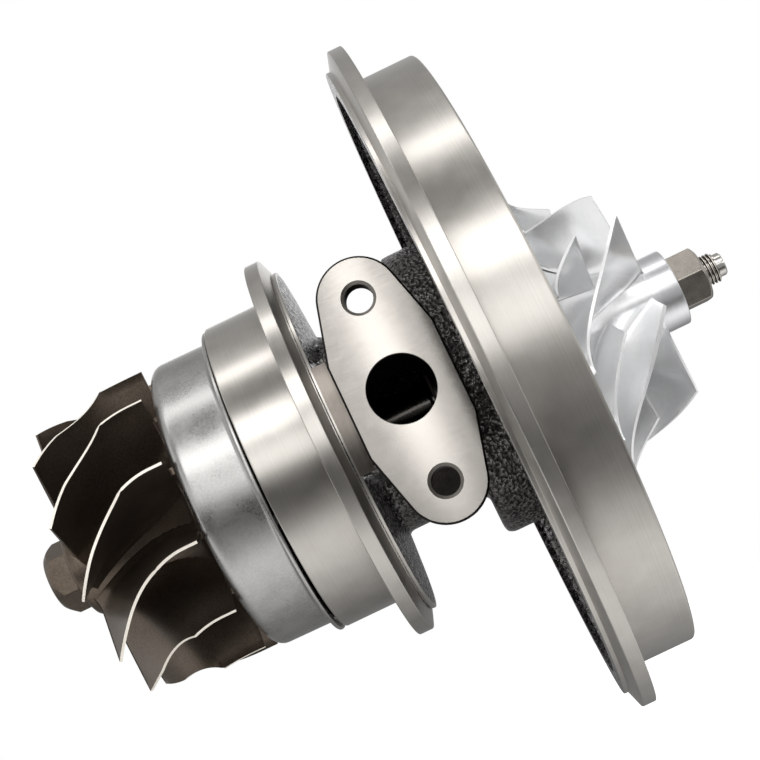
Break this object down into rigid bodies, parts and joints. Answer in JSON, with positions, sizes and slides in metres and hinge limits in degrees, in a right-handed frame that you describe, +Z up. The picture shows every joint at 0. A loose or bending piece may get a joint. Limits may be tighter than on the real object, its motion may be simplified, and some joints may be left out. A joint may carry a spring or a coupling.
{
  "type": "turbo cartridge",
  "caption": "Turbocharger centre housing with two V-band flanges and oil pads, carrying a rotor with a finned cast turbine wheel, a machined compressor wheel and a hexagon nut.",
  "frame": {"origin": "on the shaft axis, in the locating face of the turbine V-band flange", "axes": "+X along the shaft from the turbine wheel to the compressor nut, -Y out of the oil drain pad, +Y out of the oil inlet pad, +Z up"},
  "size_m": [0.2219, 0.2124, 0.2124],
  "materials": {
    "cast_iron_housing": "rough sand casting with turned flanges",
    "stainless_sheet": "satin",
    "cast_superalloy": "dark cast skin",
    "machined_aluminium": "fine milled",
    "nut_steel": "plain",
    "machined_steel": "ground",
    "spring_steel": "dark",
    "bearing_bronze": "turned",
    "piston_ring_iron": "ground",
    "rubber_seal": "smooth"
  },
  "bodies": {
    "housing": {"bearing_housing": "cast_iron_housing", "heat_shield": "stainless_sheet", "bearing_snap_ring_1": "spring_steel", "bearing_snap_ring_2": "spring_steel", "bearing_snap_ring_3": "spring_steel", "bearing_snap_ring_4": "spring_steel", "thrust_bearing": "bearing_bronze", "thrust_bearing_pins": "machined_steel", "oil_baffle": "stainless_sheet", "oil_seal_plate": "machined_steel", "seal_plate_o_ring": "rubber_seal", "seal_plate_snap_ring": "spring_steel", "turbine_seal_ring": "piston_ring_iron", "compressor_seal_ring": "piston_ring_iron"},
    "rotor": {"rotor_shaft": "machined_steel", "turbine_wheel": "cast_superalloy", "compressor_wheel": "machined_aluminium", "compressor_nut": "nut_steel", "thrust_collar": "machined_steel", "thrust_washer": "machined_steel", "oil_slinger": "machined_steel"},
    "turbine_bush": {"journal_bearing_turbine": "bearing_bronze"},
    "compressor_bush": {"journal_bearing_compressor": "bearing_bronze"}
  },
  "joints": [
    {"name": "rotor_spin", "type": "hinge", "parent": "housing", "child": "rotor", "pos_m": [0, 0, 0], "axis": [1, 0, 0], "continuous": true},
    {"name": "turbine_bush_spin", "type": "hinge", "parent": "housing", "child": "turbine_bush", "pos_m": [-0.0067, 0, 0], "axis": [1, 0, 0], "continuous": true},
    {"name": "compressor_bush_spin", "type": "hinge", "parent": "housing", "child": "compressor_bush", "pos_m": [0.0437, 0, 0], "axis": [1, 0, 0], "continuous": true}
  ]
}
